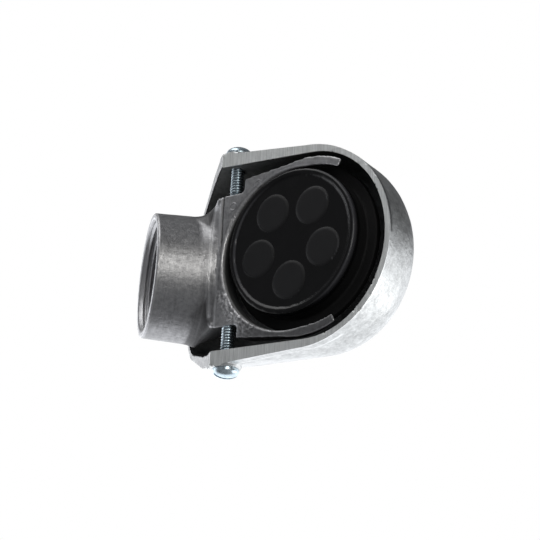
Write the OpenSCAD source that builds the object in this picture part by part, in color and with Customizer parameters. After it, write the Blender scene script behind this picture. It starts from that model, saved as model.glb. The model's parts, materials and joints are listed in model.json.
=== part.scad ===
// Service entrance weatherhead for rigid conduit: a threaded hub casting with an
// inclined horseshoe face, a round conductor insert, a cast hood and two clamp screws.
// Origin: centre of the hub mouth. +Z runs up the hub, the conductors leave towards -Y.

/* [Threaded hub] */
// Outside radius of the hub at its mouth
hub_mouth_r = 23.8; // [23.2:0.1:25]
// Draft of the hub's outside, in degrees
hub_draft = 2; // [0:0.5:3]
// Radius of the threaded bore at the thread's root
bore_r = 21; // [20.4:0.1:21.4]
// Depth of the threaded bore
bore_depth = 18.5; // [16:0.5:19]
// Countersink at the mouth of the bore
mouth_chamfer = 0.7; // [0.3:0.1:1]
// Radius of the smooth throat above the conduit stop
throat_r = 17.6; // [16:0.1:18.5]
// Height of the throat's stop shoulder
stop_h = 3; // [2:0.5:4]

/* [Neck] */
// Height at which the hub begins to flare into the neck
flare_z = 19.5; // [19:0.5:20]
// Height at which the flare ends
neck_z = 21.5; // [21:0.5:23]
// Radius of the neck round the hub
neck_r = 25.6; // [25.3:0.1:26.2]
// Inside radius of the neck above the throat
neck_bore_r = 21.6; // [20:0.1:22.4]
// Height of the neck's edge at its back
neck_back_z = 22.2; // [22:0.1:24]
// How far the neck's shoulders stand in from the edge of the face
edge_step = 0.4; // [0.2:0.1:0.8]
// Slope of the neck's edge up to the face, in degrees
neck_slope = 30; // [25:1:35]

/* [Clamp screws] */
// Distance of the screw axis in front of the hub axis
screw_reach = 27.8; // [27.4:0.1:28.2]
// Height of the screw axis above the hub mouth
screw_z = 27.4; // [27:0.1:28]
// Major radius of the screw thread
screw_r = 2.4; // [2.2:0.1:2.6]
// Depth of the screw thread
screw_thread_h = 0.4; // [0.3:0.05:0.5]
// Length of the screw under its head
screw_len = 23; // [21:0.5:23.5]
// Radius of the screw head
screw_head_r = 4.8; // [4.4:0.1:5.2]
// Height of the screw head
screw_head_h = 3.4; // [3:0.1:3.8]
// Height of the straight edge round the screw head
screw_edge_h = 0.8; // [0.5:0.1:1.2]
// Chamfer at the screw's tip
screw_tip_c = 0.5; // [0.3:0.1:0.8]
// Width of the driver slot
slot_w = 1.3; // [1:0.1:1.5]
// Depth of the driver slot
slot_depth = 1.6; // [1:0.1:1.9]

/* [Horseshoe face] */
// Angle of the face from straight down
face_tilt = 41.4; // [40:0.2:43]
// Distance of the face in front of the screw axis
face_front = 2.2; // [2:0.1:2.8]
// Thickness of the horseshoe along its normal
face_t = 8; // [7:0.5:9]
// Thickness of the two arms at their ends
arm_tip_t = 2.4; // [2:0.2:4]
// Height above the screw axis at which the arms begin to thin
arm_taper_up = 16; // [14:1:20]
// Outside radius of the horseshoe
horseshoe_r = 33.8; // [33.5:0.1:34]
// Height of the horseshoe's centre above the screw axis, along the face
horseshoe_up = 33; // [32:0.5:34]
// Half-width of the face just above the screw notches
shoulder_w = 30.7; // [30:0.1:31.5]
// Angle of each arm's end from the top of the face
arm_angle = 63.5; // [60:0.5:68]
// Radius of the round opening
opening_r = 30.3; // [30:0.1:30.6]
// Height of the opening's centre above the screw axis, along the face
opening_up = 27.7; // [27.2:0.1:28.4]
// Length of the opening's straight sides
opening_straight = 6.3; // [5:0.1:7.5]
// Chamfer along the lower edge of the opening
opening_chamfer = 0.9; // [0.5:0.1:1.2]
// Height of the screw notches above and below the screw axis
notch_half = 5.2; // [4.8:0.1:5.6]
// Distance of each notch's floor from the middle
notch_floor = 25.5; // [25:0.1:26]
// Corner radius in the notches
notch_fillet = 1.6; // [1:0.1:2]

/* [Conductor insert] */
// Gap between the insert's boss and the opening all round when centred
boss_play = 2.9; // [2.5:0.1:3.2]
// Height of the boss in front of the face
boss_proud = 0.9; // [0.5:0.1:1.2]
// Width of the raised rim round the boss
boss_rim_w = 2.2; // [1.8:0.1:2.6]
// Height of the raised rim above the insert's floor
boss_rim_h = 1; // [0.6:0.1:1.4]
// Rounding of the raised rim's edges
rim_round = 0.7; // [0.4:0.1:0.9]
// Thickness of the insert's walls
insert_wall = 2.4; // [2:0.1:3]
// How far the flange reaches behind the horseshoe
flange_grip = 1.2; // [1:0.1:1.4]
// Radius of each conductor knockout
knockout_r = 6.6; // [6:0.1:7]
// Radius of the circle the knockouts sit on
knockout_ring = 14.8; // [14.4:0.1:15.2]
// Number of conductor knockouts
knockout_count = 5; // [3:1:5]
// Turn of the first knockout from the top of the face
knockout_turn = 18; // [0:1:71]
// Width of the groove round each knockout
groove_w = 0.7; // [0.5:0.1:0.9]
// Depth of the groove round each knockout
groove_depth = 0.6; // [0.4:0.1:0.8]
// Height of each knockout above the insert's floor
knockout_rise = 0.4; // [0.2:0.1:0.6]

/* [Hood] */
// Angle of the hood's rim from straight down
rim_tilt = 46.2; // [45:0.2:47]
// Distance of the rim in front of the screw axis
rim_front = 5.4; // [5.2:0.1:5.8]
// Half-width of the hood at the screw tabs
tab_w = 41; // [40.5:0.1:41.5]
// Half-width inside the screw tabs
tab_inner_w = 35.6; // [35.3:0.1:36]
// Height of the straight side at each tab's foot
tab_side = 9; // [7:0.5:11]
// How far the tabs run down past the notches before the lower edge is cut
tab_drop = 8; // [6:0.5:10]
// Clearance between the horseshoe and the inside of the arch
arch_clearance = 1.5; // [1.2:0.1:2.2]
// How much flatter the arch is than a half circle
arch_flatten = 3; // [2:0.1:4]
// How far the arch springs below the horseshoe's centre
arch_drop = 1; // [0:0.5:2]
// Wall thickness of the hood
hood_wall = 2; // [1.8:0.1:2.2]
// Depth of the lip behind the rim
lip_depth = 4; // [3:0.5:5]
// How far the dome steps in behind the lip
lip_step = 1.1; // [0.6:0.1:1.3]
// How far the wall steps in behind the lip at the tabs
tab_step = 0.3; // [0.2:0.1:0.6]
// Depth of the straight side wall behind the rim
straight_depth = 13.5; // [12:0.5:15]
// Height of the crown's centre above the arch's springing
crown_up = 2.7; // [2:0.1:3]
// How much flatter the crown is than the arch
barrel_drop = 1; // [0.6:0.1:1.6]
// Depth of the band behind the rim that follows its outline
rim_band = 2; // [1:0.5:3]
// Depth of the rounded crown behind the straight wall
crown_depth = 25; // [23:0.5:27]
// Radius of the hood's back round the hub axis
back_r = 30.2; // [30:0.1:31]
// Height at which the hood's back rounds over
back_top_z = 42; // [40:0.5:44]
// Radius that rounds the top of the hood's back
back_round = 8; // [6:0.5:10]
// Height of the hood's lower edge
hood_base_z = 21; // [20.5:0.1:21.5]
// Radius of the screw boss on each tab
boss_r = 5.6; // [5.2:0.1:6]
// Clearance of the screw in the hood's hole
screw_clearance = 0.25; // [0.2:0.05:0.4]

/* [Hidden] */
// Cutters run this far past the faces they cut
past = 1;
// Clearance of a tapped hole over the screw's core
tap_clearance = 0.05;
// Gap that keeps the loose insert off the arm beside it
seat_gap = 0.3;
arch_w = horseshoe_r + arch_clearance + hood_wall + lip_step;
arch_rise = arch_w - arch_flatten;
arch_up = horseshoe_up - arch_drop;
// Half-size of the blocks that trim the hood
big = 2 * (arch_rise + arch_up);
screw_core_r = screw_r - screw_thread_h;
// The screw seat stands this far outside the tab
boss_stand = 0.4;
seat_x = tab_w + boss_stand;
screw_tip_x = seat_x - screw_len;
face_back = face_front - face_t;
hub_top_r = hub_mouth_r + flare_z * tan(hub_draft);
neck_w = notch_floor - edge_step;
// The neck's front stands just behind the lower edge of the face
neck_front = -screw_reach + notch_half * cos(face_tilt) - face_front * sin(face_tilt) + edge_step;
// Rough height of the neck before its sloping edge is cut
neck_tall = 14;
// Small rounding of the hub's mouth
mouth_round = 0.4;
// Radius of the neck's square corners
corner_r = sqrt(neck_w * neck_w + neck_front * neck_front) + past;
arm_tip_up = horseshoe_up + horseshoe_r * cos(arm_angle);
insert_r = opening_r - boss_play;
flange_r = opening_r + flange_grip;
insert_shift = boss_play - seat_gap;
insert_front = face_front + boss_proud;
insert_floor = insert_front - boss_rim_h;
flange_back = face_back - insert_wall;

// The two inclined frames share the screw axis as their datum
module on_face() {
    translate([0, -screw_reach, screw_z])
        rotate([180 - face_tilt, 0, 0])
            children();
}

module on_rim() {
    translate([0, -screw_reach, screw_z])
        rotate([180 - rim_tilt, 0, 0])
            children();
}

// ---- Hub casting ----

module hub_profile() {
    polygon([[0, 0], [hub_mouth_r - mouth_round, 0], [hub_mouth_r, mouth_round],
             [hub_top_r, flare_z], [hub_top_r, neck_z], [0, neck_z]]);
}

// Plan of the neck: round behind, square shoulders in front
module neck_plan() {
    circle(r = neck_r, $fn = 96);
    translate([-neck_w, neck_front]) square([2 * neck_w, -neck_front]);
}

// Round blank whose underside flares out of the hub to the neck's corners
module flare_profile() {
    inner_r = hub_top_r - past;
    slope = (neck_z - flare_z) / (corner_r - hub_top_r);
    polygon([[0, flare_z - past * slope], [inner_r, flare_z - past * slope],
             [corner_r, neck_z], [corner_r, neck_z + neck_tall], [0, neck_z + neck_tall]]);
}

module neck() {
    intersection() {
        rotate_extrude($fn = 96) flare_profile();
        linear_extrude(neck_z + neck_tall) neck_plan();
    }
}

// Space above the neck's sloping edge
module neck_trim() {
    reach = 2 * neck_r;
    rotate([90, 0, 90])
        translate([0, 0, -reach])
            linear_extrude(2 * reach)
                polygon([[reach, neck_back_z], [0, neck_back_z],
                         [-reach, neck_back_z + reach * tan(neck_slope)],
                         [-reach, 4 * reach], [reach, 4 * reach]]);
}

// Threaded bore, conduit stop, throat and the wider neck above it
module bore_profile() {
    polygon([[0, -past], [bore_r + mouth_chamfer + past, -past],
             [bore_r + mouth_chamfer, 0], [bore_r, mouth_chamfer],
             [bore_r, bore_depth], [throat_r, bore_depth],
             [throat_r, bore_depth + stop_h], [neck_bore_r, neck_z + stop_h],
             [neck_bore_r, neck_z + neck_tall + past], [0, neck_z + neck_tall + past]]);
}

// Solid outline of the face without its opening
module face_outline() {
    difference() {
        union() {
            translate([0, horseshoe_up]) circle(r = horseshoe_r, $fn = 96);
            polygon([[-horseshoe_r, horseshoe_up], [-shoulder_w, notch_half],
                     [-notch_floor, notch_half], [-notch_floor, -notch_half],
                     [notch_floor, -notch_half], [notch_floor, notch_half],
                     [shoulder_w, notch_half], [horseshoe_r, horseshoe_up]]);
        }
        arm_gap();
    }
    notch_corner();
    mirror([1, 0]) notch_corner();
}

// Metal left in the inner corner of a notch by its corner radius
module notch_corner() {
    translate([notch_floor - past, notch_half - notch_fillet])
        difference() {
            square([notch_fillet + past, notch_fillet + past]);
            translate([notch_fillet + past, 0]) circle(r = notch_fillet, $fn = 48);
        }
}

// Sector that ends the two arms square to their curve
module arm_gap() {
    reach = 2 * horseshoe_r;
    translate([0, horseshoe_up])
        polygon([[0, 0], [-reach * sin(arm_angle), reach * cos(arm_angle)],
                 [-reach, reach], [reach, reach],
                 [reach * sin(arm_angle), reach * cos(arm_angle)]]);
}

module opening_outline() {
    translate([0, opening_up]) circle(r = opening_r, $fn = 96);
    translate([-opening_r, opening_up]) square([2 * opening_r, opening_straight]);
    translate([0, opening_up + opening_straight]) circle(r = opening_r, $fn = 96);
}

module hub_body() {
    color([0.56, 0.56, 0.57]) difference() {
        union() {
            rotate_extrude($fn = 96) hub_profile();
            difference() {
                neck();
                neck_trim();
                on_face() translate([0, opening_up, face_back - 2 * neck_r])
                    cylinder(r = flange_r + insert_shift + seat_gap, h = 2 * neck_r, $fn = 96);
            }
            on_face() translate([0, 0, face_back])
                linear_extrude(face_t) face_outline();
        }
        rotate_extrude($fn = 96) bore_profile();
        on_face() {
            translate([0, 0, face_back - past])
                linear_extrude(face_t + 2 * past) opening_outline();
            translate([0, opening_up, face_front - opening_chamfer])
                cylinder(r1 = opening_r, r2 = opening_r + opening_chamfer + past,
                         h = opening_chamfer + past, $fn = 96);
        }
        on_face() arm_taper();
        screw_hole(screw_core_r + tap_clearance, screw_tip_x - past, notch_floor + past);
        mirror([1, 0, 0])
            screw_hole(screw_core_r + tap_clearance, screw_tip_x - past, notch_floor + past);
    }
}

// Wedge that thins the arms from behind towards their ends
module arm_taper() {
    tip_up = horseshoe_up + horseshoe_r;
    rotate([0, -90, 0])
        translate([0, 0, -horseshoe_r - past])
            linear_extrude(2 * (horseshoe_r + past))
                polygon([[face_back - past, arm_taper_up], [face_back, arm_taper_up],
                         [face_front - arm_tip_t, arm_tip_up],
                         [face_front - arm_tip_t, tip_up], [face_back - past, tip_up]]);
}

// Hole along the screw axis between two distances from the middle
module screw_hole(r, x0, x1) {
    translate([x0, -screw_reach, screw_z])
        rotate([0, 90, 0])
            cylinder(r = r, h = x1 - x0, $fn = 48);
}

// ---- Hood ----

// Tombstone outline of the hood, drawn in by inset; foot is its lower end
module arch_outline(side_w, spring_w, rise, foot) {
    polygon(concat(
        [[spring_w, arch_up], [side_w, foot + tab_side], [side_w, foot], [-side_w, foot],
         [-side_w, foot + tab_side], [-spring_w, arch_up]],
        [for (a = [5:5:175])
            [-spring_w * cos(a), arch_up + rise * sin(a)]]));
}

module dome(inset, side_w, foot) {
    barrel_w = arch_w - inset;
    barrel_h = arch_rise - inset - barrel_drop;
    hull() {
        on_rim() translate([0, 0, rim_front - rim_band])
            linear_extrude(rim_band + past)
                arch_outline(side_w - inset, barrel_w, arch_rise - inset, foot);
        on_rim() translate([0, arch_up + crown_up, rim_front - straight_depth]) {
            scale([barrel_w, barrel_h, 1])
                cylinder(r = 1, h = straight_depth + past, $fn = 72);
            scale([barrel_w, barrel_h, crown_depth + lip_step - inset])
                sphere(r = 1, $fn = 64);
        }
        translate([0, 0, hood_base_z - past])
            cylinder(r = back_r + lip_step - inset, h = back_top_z - hood_base_z + past, $fn = 72);
        translate([0, 0, back_top_z])
            rotate_extrude($fn = 72)
                translate([back_r + lip_step - inset - back_round, 0])
                    circle(r = back_round, $fn = 32);
    }
}

module hood() {
    tab_foot = -notch_half - tab_drop;
    color([0.74, 0.75, 0.75]) difference() {
        union() {
            on_rim() translate([0, 0, rim_front - lip_depth])
                linear_extrude(lip_depth)
                    arch_outline(tab_w, arch_w, arch_rise, tab_foot);
            dome(lip_step, tab_w + lip_step - tab_step, tab_foot);
            boss();
            mirror([1, 0, 0]) boss();
        }
        dome(lip_step + hood_wall, tab_inner_w + lip_step + hood_wall, tab_foot - past);
        translate([-big, -big, hood_base_z - big]) cube([2 * big, 2 * big, big]);
        on_rim() translate([-big, -big, rim_front]) cube([2 * big, 2 * big, big]);
        screw_hole(screw_r + screw_clearance, tab_inner_w - 2 * past, seat_x + past);
        mirror([1, 0, 0])
            screw_hole(screw_r + screw_clearance, tab_inner_w - 2 * past, seat_x + past);
    }
}

// Flat seat for a screw head on the outside of a tab
module boss() {
    screw_hole(boss_r, tab_inner_w + past, seat_x);
}

// ---- Conductor insert ----

module insert_profile() {
    inner_r = insert_r - boss_rim_w;
    polygon(concat(
        [[0, insert_floor], [inner_r, insert_floor]],
        [for (a = [180:-18:0])
            [(a > 90 ? inner_r + rim_round : insert_r - rim_round) + rim_round * cos(a),
             insert_front - rim_round + rim_round * sin(a)]],
        [[insert_r, face_back], [flange_r, face_back], [flange_r, flange_back],
         [insert_r - insert_wall, flange_back],
         [insert_r - insert_wall, insert_floor - insert_wall],
         [0, insert_floor - insert_wall]]));
}

module conductor_insert() {
    color([0.06, 0.06, 0.065]) on_face() translate([-insert_shift, opening_up, 0])
        difference() {
            union() {
                rotate_extrude($fn = 96) insert_profile();
                each_knockout() translate([0, 0, -groove_depth / 2])
                    cylinder(r = knockout_r + groove_w / 2,
                             h = groove_depth / 2 + knockout_rise, $fn = 48);
            }
            each_knockout() translate([0, 0, -groove_depth])
                rotate_extrude($fn = 48)
                    translate([knockout_r, 0]) square([groove_w, groove_depth + past]);
        }
}

// Places a knockout's parts on the insert's floor, round the ring
module each_knockout() {
    for (i = [0:knockout_count - 1])
        rotate([0, 0, -knockout_turn - i * 360 / knockout_count])
            translate([0, knockout_ring, insert_floor])
                children();
}

// ---- Clamp screws ----

// Half section of a round-head screw, tip at the origin
module screw_profile() {
    edge_top = screw_len + screw_edge_h;
    dome_h = screw_head_h - screw_edge_h;
    polygon(concat(
        [[0, 0], [screw_core_r - screw_tip_c, 0], [screw_core_r, screw_tip_c],
         [screw_core_r, screw_len], [screw_head_r, screw_len]],
        [for (a = [0:15:75]) [screw_head_r * cos(a), edge_top + dome_h * sin(a)]],
        [[0, screw_len + screw_head_h]]));
}

module clamp_screw() {
    translate([screw_tip_x, -screw_reach, screw_z]) rotate([0, 90, 0])
        difference() {
            rotate_extrude($fn = 48) screw_profile();
            translate([-screw_head_r - past, -slot_w / 2, screw_len + screw_head_h - slot_depth])
                cube([2 * (screw_head_r + past), slot_w, slot_depth + past]);
        }
}

module left_screw() {
    color([0.78, 0.80, 0.84]) mirror([1, 0, 0]) clamp_screw();
}

module right_screw() {
    color([0.78, 0.80, 0.84]) clamp_screw();
}

hub_body();
hood();
conductor_insert();
left_screw();
right_screw();
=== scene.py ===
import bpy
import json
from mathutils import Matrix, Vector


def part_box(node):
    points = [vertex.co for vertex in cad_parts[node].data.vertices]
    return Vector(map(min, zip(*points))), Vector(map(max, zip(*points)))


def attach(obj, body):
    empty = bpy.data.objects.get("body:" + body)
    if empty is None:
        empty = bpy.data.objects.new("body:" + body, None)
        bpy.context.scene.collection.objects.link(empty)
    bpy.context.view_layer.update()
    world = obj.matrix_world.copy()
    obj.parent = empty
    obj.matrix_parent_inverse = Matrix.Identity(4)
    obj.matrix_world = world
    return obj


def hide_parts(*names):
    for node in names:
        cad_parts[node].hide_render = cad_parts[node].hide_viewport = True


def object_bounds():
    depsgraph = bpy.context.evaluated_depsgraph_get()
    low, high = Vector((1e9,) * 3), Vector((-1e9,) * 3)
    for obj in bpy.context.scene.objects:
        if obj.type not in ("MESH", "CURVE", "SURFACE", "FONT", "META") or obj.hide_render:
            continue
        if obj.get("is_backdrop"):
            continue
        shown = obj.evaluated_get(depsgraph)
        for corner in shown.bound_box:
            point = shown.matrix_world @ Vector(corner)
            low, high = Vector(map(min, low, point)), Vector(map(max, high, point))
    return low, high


bl_info = {
    "name": "Service entrance weatherhead",
    "version": (1, 0, 0),
    "blender": (4, 5, 0),
    "location": "View3D > Sidebar > Weatherhead",
    "description": "Dresses the weatherhead: cast skins, threads, insert, screws and stage",
    "category": "Add Mesh",
}

import json
import math

import bmesh
import bpy
import numpy as np
from bpy.props import FloatProperty, FloatVectorProperty, PointerProperty
from mathutils import Matrix, Vector, noise
from mathutils.kdtree import KDTree

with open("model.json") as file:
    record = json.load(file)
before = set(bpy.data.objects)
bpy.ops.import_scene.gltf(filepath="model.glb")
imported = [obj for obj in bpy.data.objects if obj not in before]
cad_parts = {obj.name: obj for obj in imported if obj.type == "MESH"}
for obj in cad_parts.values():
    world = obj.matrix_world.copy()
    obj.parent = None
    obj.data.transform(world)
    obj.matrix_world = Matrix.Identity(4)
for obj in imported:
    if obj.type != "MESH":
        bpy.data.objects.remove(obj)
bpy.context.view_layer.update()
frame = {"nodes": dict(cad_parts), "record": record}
RECORD = frame["record"]

MM = 0.001
BODY = "root"
WELD = 1e-6

HUB_MOUNT = next(m for m in RECORD["mounts"] if m["name"] == "conduit_hub")

# Neck: it leaves the drafted hub at one height and meets the foot of the face at another
HUB_MOUTH_R = 23.8 * MM
HUB_DRAFT = math.radians(2)
NECK_START_Z = 15.5 * MM
NECK_FOOT_Z = 22.25 * MM
NECK_FOOT_Y = 25.1 * MM
NECK_CURVE = 1.7

# Ejector marks on the face: places across it and up it from the screw axis, in mm
EJECTOR_MARKS = ((-20.5, 0.4), (-27.6, 11.4), (22.4, 1.9), (26.8, 12.2))
EJECTOR_R = 1.35 * MM
EJECTOR_LINE = 0.45 * MM

# Clamp screws, the notches they end in and the holes tapped for them
SCREW_CORE_R = 2.0 * MM
SCREW_HEAD_H = 3.4 * MM
SCREW_HEAD_EDGE = 0.8 * MM
SCREW_SLOT_DEPTH = 1.6 * MM
SCREW_SLOT_WIDTH = 1.3 * MM
SCREW_SEGMENTS = 48
NOTCH_FLOOR_X = 25.5 * MM
TAPPED_HOLE_R = 2.1 * MM
TAPPED_HOLE_X = 15 * MM

# Conduit thread: segments round it, rings along it, the gaps at its ends, and how far its
# roots and its sleeve lie inside the bore's wall
THREAD_SEGMENTS = 144
THREAD_RINGS = 168
THREAD_START_GAP = 0.2 * MM
THREAD_END_GAPS = 0.3 * MM
THREAD_ROOT_IN = 0.03 * MM
THREAD_SLEEVE_IN = 0.25 * MM

# Hood: a point well inside its hollow, and how near its rim's plane an edge must lie
HOOD_MIDDLE = (0, -20 * MM, 42 * MM)
RIM_TOLERANCE = 0.02 * MM

# Edges: the turn from which one is sharp, the turn from which one is drawn as a hard line,
# and how many mesh sizes a point may be drawn to it
SHARP_EDGE = math.radians(24)
HARD_EDGE = math.radians(30)
SNAP_REACH = 0.62

# Insert: radii between which a flat island is a knockout, and the floor round them
KNOCKOUT_SMALLEST = 4 * MM
KNOCKOUT_LARGEST = 9 * MM
LEVEL_STEP = 0.05 * MM
FLOOR_R = 22 * MM

# Light of the room and its tint, and its glows: each a strength and the directions that
# bound it, with the cosines where the glow starts and is full
ROOM_LEVEL = 0.10
ROOM_TINT = (0.975, 0.99, 1.025)
ROOM_GLOWS = (
    (1.5, (((1, 0, 0), -0.40, -0.15), ((-0.325, 0.927, 0.187), -0.10, 0.25))),
    (0.15, (((-0.98, 0.10, 0.00), 0.55, 1.00),)),
    (0.12, (((-0.33, -0.15, -0.93), 0.20, 0.95),)),
    (0.22, (((0.80, -0.57, 0.19), 0.45, 1.00),)),
    (1.7, (((-0.33, 0.93, -0.19), 0.93, 1.00),)),
)

# Lamps: name, place and size in metres, power in watts, colour
LAMP_TARGET = (0, -25 * MM, 45 * MM)
LAMPS = (
    ("Front softbox", (-0.14, -0.95, 0.08), (0.6, 0.40), 3.2, (1.0, 0.985, 0.95)),
    ("Overhead strip", (-0.72, -0.12, -0.38), (0.9, 0.45), 2.6, (1, 1, 1)),
    ("Top softbox", (0.45, -0.25, 0.95), (0.8, 0.8), 4.4, (1, 1, 1)),
)
FLOOR_GAP = 0.05 * MM
FLOOR_OWN_LIGHT = 0.45


# ---- Sizes and colours ----


class CastingSettings(bpy.types.PropertyGroup):
    """Sizes and colours of the two aluminium castings."""

    body_colour: FloatVectorProperty(
        name="Body metal", description="Colour of the hub casting's bare metal",
        subtype="COLOR", size=3, min=0, max=1, default=(0.29, 0.29, 0.295))
    hood_colour: FloatVectorProperty(
        name="Hood metal", description="Colour of the hood casting's bare metal",
        subtype="COLOR", size=3, min=0, max=1, default=(0.480, 0.490, 0.485))
    body_grain: FloatProperty(
        name="Body mesh size", description="Edge length of the hub casting's mesh",
        unit="LENGTH", default=0.45 * MM, min=0.3 * MM, max=1 * MM)
    hood_grain: FloatProperty(
        name="Hood mesh size", description="Edge length of the hood casting's mesh",
        unit="LENGTH", default=0.68 * MM, min=0.5 * MM, max=1.2 * MM)
    skin_relief: FloatProperty(
        name="Cast relief", description="Height of the waviness of the cast skin",
        unit="LENGTH", default=0.07 * MM, min=0, max=0.3 * MM)
    face_tilt: FloatProperty(
        name="Face angle", description="Angle of the horseshoe face from straight down",
        subtype="ANGLE", default=math.radians(41.4))
    rim_tilt: FloatProperty(
        name="Rim angle", description="Angle of the hood's sawn rim from straight down",
        subtype="ANGLE", default=math.radians(46.2))
    rim_front: FloatProperty(
        name="Rim reach", description="Distance of the sawn rim in front of the screw axis",
        unit="LENGTH", default=5.4 * MM)
    face_front: FloatProperty(
        name="Face reach", description="Distance of the face in front of the screw axis",
        unit="LENGTH", default=2.2 * MM)
    face_half: FloatProperty(
        name="Face foot", description="Distance of the face's lower edge from the screw axis",
        unit="LENGTH", default=5.2 * MM)
    opening_up: FloatProperty(
        name="Opening height",
        description="Height of the opening's centre above the screw axis",
        unit="LENGTH", default=27.7 * MM)
    opening_r: FloatProperty(
        name="Opening radius", description="Radius of the round opening in the face",
        unit="LENGTH", default=30.3 * MM)


class ThreadSettings(bpy.types.PropertyGroup):
    """Pitches and depths of the conduit thread and the screw threads."""

    hub_pitch: FloatProperty(
        name="Conduit pitch", description="Pitch of the conduit thread, 11.5 to the inch",
        unit="LENGTH", default=25.4 / 11.5 * MM)
    hub_depth: FloatProperty(
        name="Conduit thread depth", description="Height of the thread's crests over its root",
        unit="LENGTH", default=1.35 * MM)
    screw_pitch: FloatProperty(
        name="Screw pitch", description="Pitch of the clamp screws, 24 to the inch",
        unit="LENGTH", default=25.4 / 24 * MM)
    screw_depth: FloatProperty(
        name="Screw thread depth", description="Height of the screw thread above its core",
        unit="LENGTH", default=0.42 * MM)
    zinc_colour: FloatVectorProperty(
        name="Zinc plate", description="Colour of the plated screws",
        subtype="COLOR", size=3, min=0, max=1, default=(0.56, 0.66, 0.72))


class InsertSettings(bpy.types.PropertyGroup):
    """Finish of the black moulded conductor insert."""

    plastic_colour: FloatVectorProperty(
        name="Plastic", description="Colour of the moulded insert",
        subtype="COLOR", size=3, min=0, max=1, default=(0.0030, 0.0030, 0.0033))
    grain: FloatProperty(
        name="Insert mesh size", description="Edge length of the insert's mesh",
        unit="LENGTH", default=0.42 * MM, min=0.3 * MM, max=1 * MM)


class StageSettings(bpy.types.PropertyGroup):
    """Camera, lights and floor."""

    azimuth: FloatProperty(
        name="Azimuth", description="Camera direction round the hub axis",
        subtype="ANGLE", default=math.radians(19.32))
    elevation: FloatProperty(
        name="Elevation", description="Camera height above the horizon",
        subtype="ANGLE", default=math.radians(-10.78))
    roll: FloatProperty(
        name="Roll", description="Turn of the camera about its own axis",
        subtype="ANGLE", default=math.radians(96.87))
    aim: FloatVectorProperty(
        name="Aim", description="Point the camera looks at",
        subtype="TRANSLATION", size=3, default=(-7.40 * MM, -1.94 * MM, 46.78 * MM))
    distance: FloatProperty(
        name="Distance", description="Camera distance from the aim point",
        unit="LENGTH", default=690.43 * MM)
    lens: FloatProperty(
        name="Lens", description="Focal length of the camera",
        subtype="DISTANCE_CAMERA", default=120.0)
    floor_size: FloatProperty(
        name="Floor", description="Side of the floor", unit="LENGTH", default=8.0)
    floor_colour: FloatVectorProperty(
        name="Floor colour", description="Colour of the plain floor",
        subtype="COLOR", size=3, min=0, max=1, default=(0.86, 0.86, 0.86))


# ---- Mesh helpers ----


def settings():
    """The add-on's settings on the current scene."""
    return bpy.context.scene.weatherhead


def linked(name, data):
    """New object of the data, in the scene."""
    obj = bpy.data.objects.new(name, data)
    bpy.context.scene.collection.objects.link(obj)
    return obj


def evaluated(obj):
    """Copy of the object's mesh as its modifiers leave it."""
    depsgraph = bpy.context.evaluated_depsgraph_get()
    return bpy.data.meshes.new_from_object(obj.evaluated_get(depsgraph))


def new_object(name, mesh):
    """Adds a piece and lets it ride on the part's body."""
    obj = linked(name, mesh)
    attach(obj, BODY)
    return obj


def point_tree(points, numbers):
    """KD-tree of the points, each under its number."""
    tree = KDTree(len(points))
    for point, number in zip(points, numbers):
        tree.insert(point, number)
    tree.balance()
    return tree


def sharp_edge_tree(bm, angle, step):
    """KD-tree of points along the edges that turn by angle or more."""
    points = []
    for edge in bm.edges:
        if len(edge.link_faces) != 2 or edge.calc_face_angle(0.0) < angle:
            continue
        a, b = edge.verts[0].co, edge.verts[1].co
        count = max(1, int((b - a).length / step))
        points += [a.lerp(b, (i + 0.5) / count) for i in range(count)]
    return point_tree(points, range(len(points)))


def close_tapped_holes(bm):
    """Takes the tapped holes out of the casting, where the screws' cores fill them."""
    axis = screw_axis_point()
    wall = [face for face in bm.faces if all(
        math.hypot(v.co.y - axis.y, v.co.z - axis.z) < TAPPED_HOLE_R
        and abs(v.co.x) > TAPPED_HOLE_X for v in face.verts)]
    bmesh.ops.delete(bm, geom=wall, context="FACES")
    bmesh.ops.holes_fill(bm, edges=[e for e in bm.edges if e.is_boundary], sides=0)


def remeshed(node, name, grain, prepare):
    """Even quad mesh of a frame node, its places and their distances from sharp edges.

    prepare may read or change the node's own mesh first.
    """
    source = bpy.data.meshes.new(name + "_source")
    bm = bmesh.new()
    bm.from_mesh(frame["nodes"][node].data)
    bmesh.ops.remove_doubles(bm, verts=bm.verts, dist=WELD)
    prepare(bm)
    tree = sharp_edge_tree(bm, SHARP_EDGE, grain)
    bm.to_mesh(source)
    bm.free()
    holder = linked(name + "_source", source)
    voxels = holder.modifiers.new("Even quads", "REMESH")
    voxels.mode = "VOXEL"
    voxels.voxel_size = grain
    mesh = evaluated(holder)
    mesh.name = name
    bpy.data.objects.remove(holder)
    bpy.data.meshes.remove(source)
    for layer in [a.name for a in mesh.attributes if a.name == "custom_normal"]:
        mesh.attributes.remove(mesh.attributes[layer])
    co = coordinates(mesh)
    edge_distance = np.array([tree.find(Vector(p))[2] for p in co])
    return mesh, co, edge_distance


def coordinates(mesh):
    """Places of the mesh's vertices, one row each."""
    co = np.zeros(len(mesh.vertices) * 3, np.float32)
    mesh.vertices.foreach_get("co", co)
    return co.reshape(-1, 3).astype(float)


def normals(mesh):
    """Normals at the mesh's vertices, one row each."""
    n = np.zeros(len(mesh.vertices) * 3, np.float32)
    mesh.vertex_normals.foreach_get("vector", n)
    return n.reshape(-1, 3).astype(float)


def store(mesh, co):
    """Puts the vertices at co."""
    mesh.vertices.foreach_set("co", co.astype(np.float32).ravel())
    mesh.update()


def smooth_step(x, low, high):
    """Zero below low, one above high, with an eased rise between."""
    t = np.clip((x - low) / (high - low), 0, 1)
    return t * t * (3 - 2 * t)


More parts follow.
